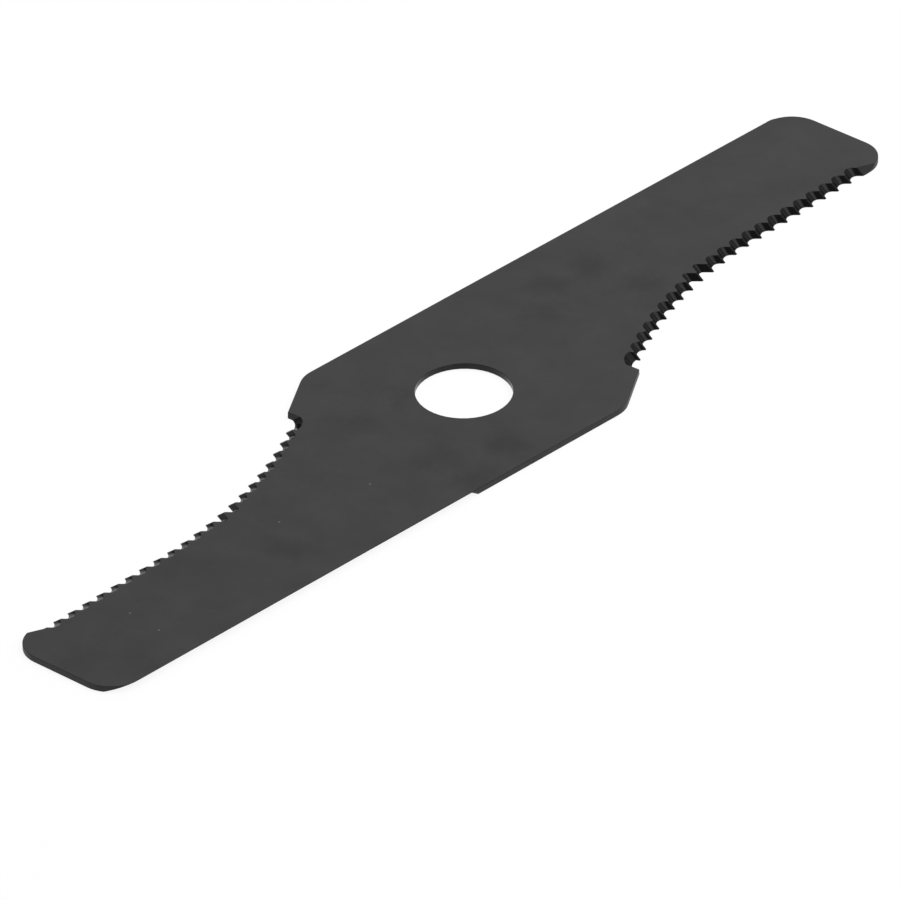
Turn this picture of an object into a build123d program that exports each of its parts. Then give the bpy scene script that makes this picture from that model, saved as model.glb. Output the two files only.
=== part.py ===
from build123d import *
import math
import os

# Brush cutter blade: one flat piece of spring steel with two arms, alike after a half turn about the bore.
# X runs along the arms, the lower face lies on Z = 0, and the bore's centre is the origin.
# On the +X arm the straight cutting edge is on the +Y side and the teeth are on the -Y side.

# Driving dimensions: millimetres and degrees.

# Sheet, hub and bore
thickness = 1.4
bore_diameter = 20.0
blade_width = 54.5
hub_corner_radius = 7.4
hub_shoulder_slope = 33.3

# Arm end: a slanted cut with two rounded corners
arm_reach = 125.65
end_slant = 6.0
straight_corner_radius = 7.5
toothed_corner_radius = 6.5

# Tooth line, which the points lie on: straight towards the arm's end, then an arc down to a notch at the hub
tooth_line_slope = 2.78
tooth_bend_reach = 83.55
tooth_bend_offset = 2.02
notch_reach = 30.45
notch_inset = 8.65
notch_wall = 1.26
edge_stock = 0.1

# Teeth: gullets ground through the sheet at a slant, so that the points stand at the lower face.
# The wheel keeps its direction all along the tooth line: a straight flank, a round nose and a steep hub side.
tooth_pitch = 4.04
tooth_land = 0.48
gullet_radius = 1.65
most_nose = 0.95
flank_slope = 46.0
hub_side_slope = 72.0
groove_slope = 39.0
groove_lean = 6.5
last_tooth_inset = 8.6
run_out_slope = 22.0

# Gullets ground twice, where two passes of the wheel overlap, counted from the arm's end.
# They are deeper and have a tight nose.
overlapped_gullets = (13, 14)
overlapped_radius = 0.95

# Straight cutting edge: one bevel ground from the lower face, leaving a thin land at the upper face
bevel_width = 3.4
edge_land = 0.1
bevel_reach = 22.7
bevel_end_slant = 28.0
bevel_end_run = 2.0

half_width = blade_width / 2
past_edge = half_width
shoulder_rise = math.tan(math.radians(hub_shoulder_slope))
line_rise = math.tan(math.radians(tooth_line_slope))
end_rise = math.tan(math.radians(end_slant))

# Tooth line: its bend, its end at the notch, and the arc that leaves the straight run smoothly and meets both.
line_along = Vector(1, 0).rotate(Axis.Z, tooth_line_slope)
line_inwards = Vector(0, 1).rotate(Axis.Z, tooth_line_slope)
bend = Vector(tooth_bend_reach, -tooth_bend_offset)
notch = Vector(notch_reach, notch_inset - half_width)
bend_to_notch = notch - bend
arc_radius = bend_to_notch.length**2 / (-2 * bend_to_notch.dot(line_inwards))
arc_centre = bend - line_inwards * arc_radius
arc_turn = (notch - arc_centre).get_angle(line_inwards)
straight_run = (arm_reach - last_tooth_inset - tooth_bend_reach) / math.cos(math.radians(tooth_line_slope))
tooth_run = straight_run + arc_radius * math.radians(arc_turn)


def on_tooth_line(travel):
    """Point of the tooth line at a distance along it from the last tooth towards the hub."""
    past_bend = travel - straight_run
    if past_bend <= 0:
        return bend - line_along * past_bend
    return arc_centre + line_inwards.rotate(Axis.Z, math.degrees(past_bend / arc_radius)) * arc_radius


# Blank: half of the outline, from one hub shoulder round the +X arm to the other shoulder, then its half turn.
# Along the teeth it keeps the stock that the grinding takes away.
notch_corner = notch - Vector(0, notch_wall)
shoulder_start = Vector(notch_corner.X - (notch_corner.Y + half_width) / shoulder_rise, -half_width)
shoulder_end = notch_corner + Vector(notch_wall, notch_wall * shoulder_rise)
edge_bend = bend - line_inwards * edge_stock
toothed_corner_height = (edge_bend.Y + (arm_reach - edge_bend.X) * line_rise) / (1 + end_rise * line_rise)
toothed_corner = Vector(arm_reach - toothed_corner_height * end_rise, toothed_corner_height)
straight_corner = Vector(arm_reach - half_width * end_rise, half_width)

half_outline = Polyline(
    shoulder_start, shoulder_end, edge_bend, toothed_corner, straight_corner, shoulder_start * -1
)
blank = make_face(half_outline + Rot(0, 0, 180) * half_outline)

rounded_corners = (
    (shoulder_start, hub_corner_radius),
    (toothed_corner, toothed_corner_radius),
    (straight_corner, straight_corner_radius),
)
for corner, radius in rounded_corners:
    for place in (corner, corner * -1):
        blank = fillet(blank.vertices().sort_by_distance(place)[0], radius)

blade = extrude(blank, thickness)
blade -= Cylinder(bore_diameter / 2, 3 * thickness)

# Gullet sides, as directions into the sheet, and half of the angle between them.
flank = Vector(-1, 0).rotate(Axis.Z, -flank_slope)
hub_side = Vector(1, 0).rotate(Axis.Z, hub_side_slope)
half_gullet_angle = math.radians(180 - flank_slope - hub_side_slope) / 2


def gullet(outer, inner, radius):
    """Gullet from one tooth to the next one towards the hub; the nose is limited by the shorter side."""
    span = inner - outer
    corner = outer + flank * (span.cross(hub_side).Z / flank.cross(hub_side).Z)
    room = min((corner - outer).length, (corner - inner).length)
    nose = min(radius, most_nose * room * math.tan(half_gullet_angle))
    return FilletPolyline(outer, corner, inner, radius=nose)


# Teeth of the +X arm at an even pitch from the arm's end; the gullet at the notch takes up what is left.
tooth_count = round(tooth_run / tooth_pitch)
tooth_row = []
for number in range(tooth_count):
    land_start = number * tooth_pitch
    gullet_end = tooth_run if number == tooth_count - 1 else land_start + tooth_pitch
    radius = overlapped_radius if number + 1 in overlapped_gullets else gullet_radius
    tip = on_tooth_line(land_start)
    root = on_tooth_line(land_start + tooth_land)
    tooth_row += [Line(tip, root), gullet(root, on_tooth_line(gullet_end), radius)]

# The wheel leaves the edge beyond the last tooth on a shallow flat, and stops at the notch's wall.
last_tooth = on_tooth_line(0)
run_out = last_tooth + Vector(past_edge, 0).rotate(Axis.Z, -run_out_slope)
outside = Polyline(
    last_tooth,
    run_out,
    Vector(run_out.X, -half_width - past_edge),
    Vector(notch.X, -half_width - past_edge),
    notch,
)
groove_direction = Vector(0, 1).rotate(Axis.X, groove_slope).rotate(Axis.Z, groove_lean)
groove_length = 2 * thickness / groove_direction.Z
tooth_cut = extrude(make_face(Curve() + tooth_row + outside), groove_length, dir=groove_direction, both=True)

# Bevel of the +X arm: a wedge along the edge, with the slanted end that the grinding wheel leaves at the hub.
bevel_rise = (thickness - edge_land) / bevel_width
wedge_profile = Polyline(
    (half_width - bevel_width, 0),
    (half_width + bevel_width, 2 * bevel_width * bevel_rise),
    (half_width + bevel_width, -thickness),
    (half_width - bevel_width, -thickness),
    close=True,
)
wedge = extrude(Plane.YZ * make_face(wedge_profile), arm_reach + past_edge)
bevel_end_lead = past_edge * math.tan(math.radians(bevel_end_slant))
wheel_plan = Polyline(
    (bevel_reach - bevel_end_lead, half_width + past_edge),
    (bevel_reach + bevel_end_lead, half_width - past_edge),
    (arm_reach + past_edge, half_width - past_edge),
    (arm_reach + past_edge, half_width + past_edge),
    close=True,
)
wheel_direction = Vector(bevel_end_run, 0, thickness)
wheel_path = extrude(make_face(wheel_plan), 2 * wheel_direction.length, dir=wheel_direction, both=True)
bevel_cut = wedge & wheel_path

for turn in (0, 180):
    blade -= Rot(0, 0, turn) * tooth_cut
    blade -= Rot(0, 0, turn) * bevel_cut

os.makedirs("parts", exist_ok=True)
export_step(blade, "parts/blade.step")
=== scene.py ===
import bmesh
import bpy
import math
from mathutils import Euler, Matrix, Vector


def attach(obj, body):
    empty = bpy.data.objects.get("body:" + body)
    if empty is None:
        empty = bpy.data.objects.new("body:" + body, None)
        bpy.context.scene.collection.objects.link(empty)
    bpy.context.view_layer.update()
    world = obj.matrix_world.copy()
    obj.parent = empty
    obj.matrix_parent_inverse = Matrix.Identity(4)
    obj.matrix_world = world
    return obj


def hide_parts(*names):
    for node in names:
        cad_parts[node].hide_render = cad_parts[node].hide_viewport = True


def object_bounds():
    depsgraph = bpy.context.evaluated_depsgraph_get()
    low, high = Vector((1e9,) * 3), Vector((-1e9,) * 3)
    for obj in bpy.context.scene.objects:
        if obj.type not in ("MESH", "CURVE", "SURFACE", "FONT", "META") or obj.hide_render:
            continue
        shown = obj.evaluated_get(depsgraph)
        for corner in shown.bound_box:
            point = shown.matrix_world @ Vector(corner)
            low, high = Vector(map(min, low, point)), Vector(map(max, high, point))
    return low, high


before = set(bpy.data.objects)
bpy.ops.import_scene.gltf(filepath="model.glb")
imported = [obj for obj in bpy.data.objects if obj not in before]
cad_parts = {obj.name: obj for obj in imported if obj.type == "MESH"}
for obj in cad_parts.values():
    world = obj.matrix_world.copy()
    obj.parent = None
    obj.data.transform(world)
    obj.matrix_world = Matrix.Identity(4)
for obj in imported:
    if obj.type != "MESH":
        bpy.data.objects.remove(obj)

cad_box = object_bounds()

# Blade: one flat piece of spring steel, blanked with its bore, its edges ground, then blackened all over.
# The mesh is the solid's own, welded, with the fine rounding that deburring and the finish leave on edges.
# The sharpened edges stay crisp.
blade = bpy.data.objects.new("ground_blade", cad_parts["blade"].data.copy())
bpy.context.scene.collection.objects.link(blade)
blade.data.materials.clear()

weld_distance = 0.000002
flat_angle = math.radians(0.2)
shape = bmesh.new()
shape.from_mesh(blade.data)
bmesh.ops.remove_doubles(shape, verts=shape.verts, dist=weld_distance)
bmesh.ops.dissolve_limit(shape, angle_limit=flat_angle, verts=shape.verts, edges=shape.edges)

# The gullet beside each notch is wide and round, where the wheel leans over in its last pass, and the
# notch's wall leans with it. Their points move there; the arms are alike after a half turn.
sheet = cad_box[1][2] - cad_box[0][2]
notch_reach = 0.03045
notch_wall_gap = 0.00003
groove_slope = math.radians(39)
groove_lean = math.radians(6.5)
groove = Matrix.Rotation(groove_lean, 3, "Z") @ Matrix.Rotation(groove_slope, 3, "X") @ Vector((0, 1, 0))
round_centre = Vector((0.03428, -0.01950, 0.0))
round_axis = Vector((-0.00057, 0.00175, sheet))
round_radius = 0.00392
most_move = 0.0008
flank_gap = 0.0002
level_gap = 0.00001
hub_side_length = 0.001
hub_side_cuts = 9
wall_foot_move = Vector((0.00024, 0.00016, 0.0))


def seen_along(direction, place):
    """Where a point shows on the lower face, looked at along a direction."""
    return place - direction * (place.z / direction.z)


def on_round(place):
    """Whether a point of the +X arm belongs to the gullet beside the notch."""
    reach = seen_along(groove, place) - round_centre
    return abs(reach.length - round_radius) < most_move and reach.y > 0 and reach.x < -flank_gap


def on_wall_foot(place):
    """Whether a point of the +X arm belongs to the outer end of the notch's wall."""
    foot = seen_along(groove, place)
    return abs(foot.x - notch_reach) < notch_wall_gap and foot.y < round_centre.y


for turn in (Matrix.Identity(3), Matrix.Rotation(math.pi, 3, "Z")):
    hub_side = []
    for edge in shape.edges:
        first, second = (turn @ vert.co for vert in edge.verts)
        level = abs(first.z - second.z) < level_gap
        if level and edge.calc_length() > hub_side_length and on_round(first) and on_round(second):
            hub_side.append(edge)
    bmesh.ops.subdivide_edges(shape, edges=hub_side, cuts=hub_side_cuts, use_grid_fill=True)
    for vert in shape.verts:
        place = turn @ vert.co
        if on_round(place):
            reach = seen_along(round_axis, place) - round_centre
            vert.co += turn @ (reach.normalized() * round_radius - reach)
        elif on_wall_foot(place):
            vert.co += turn @ wall_foot_move
shape.normal_update()

# Each face is rolled sheet, an upright sheared wall or a ground slope, by the way that it faces.
# The numbers are those of the material slots.
ROLLED, SHEARED, GROUND = range(3)
least_rolled = 0.999
most_sheared = 0.2
for face in shape.faces:
    flatness = abs(face.normal.z)
    if flatness > least_rolled:
        face.material_index = ROLLED
    elif flatness < most_sheared:
        face.material_index = SHEARED
    else:
        face.material_index = GROUND
    face.smooth = True

# The blank's edges are rounded first, and then, more finely, those of the ground slopes.
rim_rounding = 0.00012
rim_segments = 3
ground_rounding = 0.00005
ground_segments = 2
sharpened_land = 0.0002
least_corner = math.radians(18)
sharp_angle = math.radians(35)


def height(face):
    """How far a face reaches through the sheet's thickness."""
    return max(vert.co.z for vert in face.verts) - min(vert.co.z for vert in face.verts)


def corners(of_ground):
    """Edges to round: those of ground slopes, or of the blank alone. The sharpened land keeps its edges."""
    chosen = []
    for edge in shape.edges:
        if edge.calc_face_angle() < least_corner:
            continue
        if any(0 < height(face) < sharpened_land for face in edge.link_faces):
            continue
        if of_ground == any(face.material_index == GROUND for face in edge.link_faces):
            chosen.append(edge)
    return chosen


edge_kinds = ((False, rim_rounding, rim_segments), (True, ground_rounding, ground_segments))
for of_ground, offset, segments in edge_kinds:
    bmesh.ops.bevel(
        shape,
        geom=corners(of_ground),
        offset=offset,
        affect="EDGES",
        segments=segments,
        profile=0.5,
        material=-1,
    )
shape.to_mesh(blade.data)
shape.free()
blade.data.set_sharp_from_angle(angle=sharp_angle)
flat = blade.modifiers.new("flat_faces", "WEIGHTED_NORMAL")
flat.keep_sharp = True


class Shade:
    """One output of a shader node, in a form that plain arithmetic works on."""

    def __init__(self, tree, output=None):
        self.tree = tree
        self.output = output

    def node(self, kind, settings, sockets, output=0):
        """Adds a node, sets it up, feeds its sockets with values or other outputs, and gives an output."""
        made = self.tree.nodes.new(kind)
        for name, value in settings.items():
            setattr(made, name, value)
        for name, value in sockets.items():
            if isinstance(value, Shade):
                self.tree.links.new(value.output, made.inputs[name])
            else:
                made.inputs[name].default_value = value
        return Shade(self.tree, made.outputs[output] if made.outputs else None)

    def math(self, operation, first, second):
        """One operation on two values."""
        return self.node("ShaderNodeMath", {"operation": operation}, {0: first, 1: second})

    def __add__(self, other):
        return self.math("ADD", self, other)

    def __sub__(self, other):
        return self.math("SUBTRACT", self, other)

    def __rsub__(self, other):
        return self.math("SUBTRACT", other, self)

    def __mul__(self, other):
        return self.math("MULTIPLY", self, other)

    __radd__ = __add__
    __rmul__ = __mul__

    def place(self):
        """Place of a point on the object."""
        return self.node("ShaderNodeTexCoord", {}, {}, "Object")

    def stretched(self, place, scale, turn=0.0):
        """Place for a pattern that is turned about the upright and drawn out along the small scales."""
        sockets = {"Vector": place, "Rotation": (0.0, 0.0, turn), "Scale": scale}
        return self.node("ShaderNodeMapping", {}, sockets)

    def noise(self, place, scale, detail, roughness=0.5):
        """Soft noise about zero, from about -0.5 to 0.5."""
        sockets = {"Vector": place, "Scale": scale, "Detail": detail, "Roughness": roughness}
        return self.node("ShaderNodeTexNoise", {}, sockets, "Fac") - 0.5

    def step(self, value, start, end):
        """Rises smoothly from 0 at start to 1 at end."""
        sockets = {"Value": value, "From Min": start, "From Max": end}
        return self.node("ShaderNodeMapRange", {"interpolation_type": "SMOOTHSTEP"}, sockets)

    def away(self, place, centre):
        """Distance of a place from a centre."""
        return self.node("ShaderNodeVectorMath", {"operation": "DISTANCE"}, {0: place, 1: centre}, "Value")

    def tint(self, share, first, second):
        """Colour between two colours."""
        return self.node("ShaderNodeMix", {"data_type": "RGBA"}, {0: share, 6: first, 7: second}, 2)


def start_material(name, carrier):
    """New material in the next slot of its carrier, with an empty tree."""
    material = bpy.data.materials.new(name)
    material.use_nodes = True
    material.node_tree.nodes.clear()
    carrier.data.materials.append(material)
    return Shade(material.node_tree)


def finish_material(tree, colour, roughness, ior, relief, relief_depth):
    """Blackened steel: a thin dark coat that reflects weakly, with its colour, gloss and fine relief."""
    normal = tree.node("ShaderNodeBump", {}, {"Height": relief, "Distance": relief_depth, "Strength": 1.0})
    surface = tree.node(
        "ShaderNodeBsdfPrincipled",
        {},
        {"Base Color": colour, "Roughness": roughness, "IOR": ior, "Normal": normal},
    )
    tree.node("ShaderNodeOutputMaterial", {}, {"Surface": surface})


# Rolled faces: a satin with faint clouds and a few darker patches from the blackening bath.
# A few specks of dust lie on the upper face.
coat_ior = 1.35
deep_black = (0.001, 0.001, 0.001, 1.0)
thin_black = (0.022, 0.022, 0.022, 1.0)
dust = (0.09, 0.09, 0.088, 1.0)
dark_patches = (
    (0.0321, 0.0087),
    (0.0391, 0.0160),
    (0.0518, 0.0155),
    (0.0545, 0.0031),
    (-0.0095, 0.0068),
    (-0.0223, 0.0058),
    (-0.0082, -0.0193),
    (-0.0210, -0.0130),
    (-0.0215, -0.0247),
    (-0.0644, -0.0139),
)
dust_specks = (
    (-0.1015, -0.0177),
    (-0.1015, -0.0094),
    (-0.0368, -0.0106),
    (-0.0589, -0.0074),
)
patch_reach = 0.0065
patch_unevenness = 0.008
patch_share = 0.36
speck_core = 0.00012
speck_reach = 0.00030
halfway = 0.5
cloud_share = 1.4
satin_dullness = 0.43
cloud_dullness = 0.10
grain_dullness = 0.06

tree = start_material("rolled_face_blackened", blade)
place = tree.place()
clouds = tree.noise(place, scale=95.0, detail=4.0, roughness=0.65)
grain = tree.noise(place, scale=2600.0, detail=2.0)
darkened = 0.0
for patch in dark_patches:
    from_patch = tree.away(place, (*patch, sheet)) + clouds * patch_unevenness
    darkened = darkened + 1 - tree.step(from_patch, 0.0, patch_reach)
dusty = 0.0
for speck in dust_specks:
    dusty = dusty + 1 - tree.step(tree.away(place, (*speck, sheet)), speck_core, speck_reach)
black = tree.tint(halfway + clouds * cloud_share - darkened * patch_share, deep_black, thin_black)
finish_material(
    tree,
    colour=tree.tint(dusty, black, dust),
    roughness=satin_dullness + clouds * cloud_dullness + grain * grain_dullness,
    ior=coat_ior,
    relief=grain,
    relief_depth=0.000004,
)

# Sheared walls: the blanking tool's fine lines run through the sheet's thickness.
# The reamed bore is smoother, and its colour is darker as painted shade inside the hole.
sheared_worn = (0.032, 0.032, 0.032, 1.0)
along_shear_scale = 0.08
within_bore = 0.0103
outside_bore = 0.0106
sheared_share = 0.55
wear_share = 0.7
bore_shade_share = 0.5
sheared_dullness = 0.46
line_dullness = 0.16
wear_dullness = 0.1
reamed_polish = 0.21

tree = start_material("sheared_wall_blackened", blade)
place = tree.place()
shear_lines = tree.noise(tree.stretched(place, (1.0, 1.0, along_shear_scale)), scale=3200.0, detail=3.0)
wear = tree.noise(place, scale=260.0, detail=3.0)
from_axis = tree.away(tree.stretched(place, (1.0, 1.0, 0.0)), (0.0, 0.0, 0.0))
# Within the bore the colour is pulled darker as painted shade, and the lower roughness there is the reamed
# finish.
reamed_and_shaded = 1 - tree.step(from_axis, within_bore, outside_bore)
finish_material(
    tree,
    colour=tree.tint(sheared_share + wear * wear_share - reamed_and_shaded * bore_shade_share, deep_black, sheared_worn),
    roughness=sheared_dullness + shear_lines * line_dullness + wear * wear_dullness - reamed_and_shaded * reamed_polish,
    ior=coat_ior,
    relief=shear_lines,
    relief_depth=0.00001,
)

# Ground slopes: the wheel's lines run along each groove and across each bevel.
# They are glossier than the rest, and reflect more weakly.
ground_ior = 1.22
ground_black = (0.002, 0.002, 0.002, 1.0)
ground_worn = (0.005, 0.005, 0.005, 1.0)
along_wheel_scale = 0.03
ground_dullness = 0.11
wheel_line_dullness = 0.05
pass_dullness = 0.04
wheel_line_relief = 0.1

tree = start_material("ground_slope_blackened", blade)
along_wheel = tree.stretched(tree.place(), (1.0, along_wheel_scale, along_wheel_scale), turn=-groove_lean)
wheel_lines = tree.noise(along_wheel, scale=5200.0, detail=3.0, roughness=0.6)
passes = tree.noise(along_wheel, scale=900.0, detail=2.0)
finish_material(
    tree,
    colour=tree.tint(passes + wheel_lines + halfway, ground_black, ground_worn),
    roughness=ground_dullness + wheel_lines * wheel_line_dullness + passes * pass_dullness,
    ior=ground_ior,
    relief=passes + wheel_lines * wheel_line_relief,
    relief_depth=0.00006,
)

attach(blade, "root")
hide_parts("blade")

# Floor: a sheet of white card, a hair below the blade's lower face, which keeps the blade's shadow.
# It shows from above only, so that the lower face can be looked at.
floor_half = 6.0
floor_gap = 0.0001
card_white = (0.97, 0.97, 0.97, 1.0)
white_share = 0.9

floor_shape = bmesh.new()
bmesh.ops.create_grid(
    floor_shape, x_segments=1, y_segments=1, size=floor_half, matrix=Matrix.Translation((0, 0, -floor_gap))
)
floor_mesh = bpy.data.meshes.new("card_floor")
floor_shape.to_mesh(floor_mesh)
floor_shape.free()
floor = bpy.data.objects.new("card_floor", floor_mesh)
bpy.context.scene.collection.objects.link(floor)

tree = start_material("white_card", floor)
card = tree.node("ShaderNodeBsdfDiffuse", {}, {"Color": card_white})
bright = tree.node("ShaderNodeEmission", {}, {"Strength": 1.0})
clear = tree.node("ShaderNodeBsdfTransparent", {}, {})
looked_at = tree.node("ShaderNodeLightPath", {}, {}, "Is Camera Ray")
for ray in ("Is Glossy Ray", "Is Transmission Ray"):
    looked_at = tree.math("MAXIMUM", looked_at, tree.node("ShaderNodeLightPath", {}, {}, ray))
whitened = tree.node("ShaderNodeMixShader", {}, {0: looked_at * white_share, 1: card, 2: bright})
behind = tree.node("ShaderNodeNewGeometry", {}, {}, "Backfacing")
one_sided = tree.node("ShaderNodeMixShader", {}, {0: behind, 1: whitened, 2: clear})
tree.node("ShaderNodeOutputMaterial", {}, {"Surface": one_sided})


# Studio light: three soft boxes in an even room. The one behind to the right lies mirrored in the rolled
# face, and the overhead one and its dimmer neighbour at the right in the gullets.
def soft_box(name, centre, turn, width, depth, brightness):
    """Evenly bright panel, turned from facing straight down."""
    lamp = bpy.data.lights.new(name, "AREA")
    lamp.shape = "RECTANGLE"
    lamp.size = width
    lamp.size_y = depth
    lamp.energy = brightness * math.pi * width * depth
    stand = bpy.data.objects.new(name, lamp)
    stand.matrix_world = Matrix.Translation(centre) @ turn.to_matrix().to_4x4()
    bpy.context.scene.collection.objects.link(stand)


overhead_centre = Vector((0.31, -0.55, 1.0))
side_centre = Vector((1.18, -0.53, 0.94))
back_centre = Vector((1.53, 1.38, 1.05))
straight_down = Euler((0, 0, 0))
side_turn = (-side_centre).to_track_quat("-Z", "Y")
back_turn = (-back_centre).to_track_quat("-Z", "Y")
soft_box("overhead_box", overhead_centre, straight_down, width=0.70, depth=1.7, brightness=3.1)
soft_box("side_box", side_centre, side_turn, width=1.1, depth=1.1, brightness=0.8)
soft_box("back_box", back_centre, back_turn, width=1.7, depth=1.7, brightness=0.88)

room_white = (1.0, 1.0, 1.0, 1.0)
room_brightness = 0.4
room = bpy.data.worlds.new("dim_room")
room.use_nodes = True
room.node_tree.nodes["Background"].inputs["Color"].default_value = room_white
room.node_tree.nodes["Background"].inputs["Strength"].default_value = room_brightness
bpy.context.scene.world = room

# Camera: a long lens more than two metres away, so that the far arm shows hardly smaller than the near one.
# It looks down on the blade across the straight edge of the near arm.
view_azimuth = math.radians(-44.01)
view_elevation = math.radians(33.98)
view_roll = math.radians(-0.83)
view_aim = Vector((-0.01564, -0.01186, 0.0))
view_distance = 2.2245
lens = bpy.data.cameras.new("long_lens")
lens.sensor_width = 36.0
lens.lens = 441.94
lens.clip_start = 0.1
lens.clip_end = 50.0
camera = bpy.data.objects.new("long_lens", lens)
camera.matrix_world = (
    Matrix.Translation(view_aim)
    @ Matrix.Rotation(view_azimuth, 4, "Z")
    @ Matrix.Rotation(math.pi / 2 - view_elevation, 4, "X")
    @ Matrix.Rotation(view_roll, 4, "Z")
    @ Matrix.Translation((0, 0, view_distance))
)
bpy.context.scene.collection.objects.link(camera)
bpy.context.scene.camera = camera
bpy.context.scene.view_settings.view_transform = "Standard"
